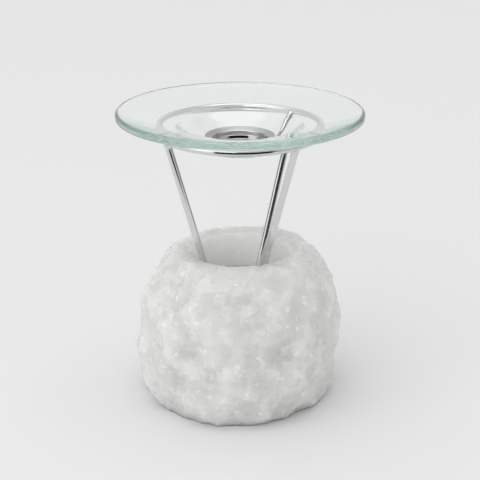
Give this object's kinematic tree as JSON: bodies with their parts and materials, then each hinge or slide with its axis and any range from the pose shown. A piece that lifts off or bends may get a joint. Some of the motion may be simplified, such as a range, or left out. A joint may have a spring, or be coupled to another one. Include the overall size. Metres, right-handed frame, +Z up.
{
  "type": "essential oil burner",
  "caption": "Rough white stone holds a tealight in its hollow; a lift-out chrome wire stand carries a clear glass dish and a small metal oil cup above the flame.",
  "frame": {"origin": "on the table, at the middle of the whole burner's footprint, which is the axis of the hollow, the stand and the dish", "axes": "+Z up, along the axis of the dish, the stand and the hollow; -Y faces the viewer of the picture; +X to the right"},
  "size_m": [0.14, 0.14, 0.1703],
  "materials": {
    "stone": "rough broken white quartz, slightly translucent",
    "chrome": "mirror polished chrome wire",
    "glass": "clear polished, pale green at the edge",
    "cup_metal": "satin flange with a polished well",
    "foil": "thin drawn aluminium",
    "wax": "smooth white paraffin wax",
    "wick": "waxed cotton braid",
    "tab_metal": "thin pressed metal"
  },
  "bodies": {
    "stone": {"rock_base": "stone"},
    "stand": {"stand_top_ring": "chrome", "stand_leg_left": "chrome", "stand_leg_front_right": "chrome", "stand_leg_back_right": "chrome", "stand_base_plate": "chrome"},
    "dish": {"glass_dish": "glass"},
    "cup": {"oil_cup": "cup_metal"},
    "tealight": {"tealight_cup": "foil", "tealight_wax": "wax", "tealight_wick": "wick", "tealight_wick_tab": "tab_metal"}
  },
  "joints": [
    {"name": "stand_lift", "type": "slide", "parent": "stone", "child": "stand", "axis": [0, 0, 1], "range_m": [0, 0.09]},
    {"name": "dish_lift", "type": "slide", "parent": "stand", "child": "dish", "axis": [0, 0, 1], "range_m": [0, 0.045]},
    {"name": "oil_cup_lift", "type": "slide", "parent": "dish", "child": "cup", "axis": [0, 0, 1], "range_m": [0, 0.03]},
    {"name": "tealight_lift", "type": "slide", "parent": "stone", "child": "tealight", "axis": [0, 0, 1], "range_m": [0, 0.045]}
  ],
  "couplings": [
    {"joint": "tealight_lift", "follows": "stand_lift", "ratio": 0.5}
  ]
}
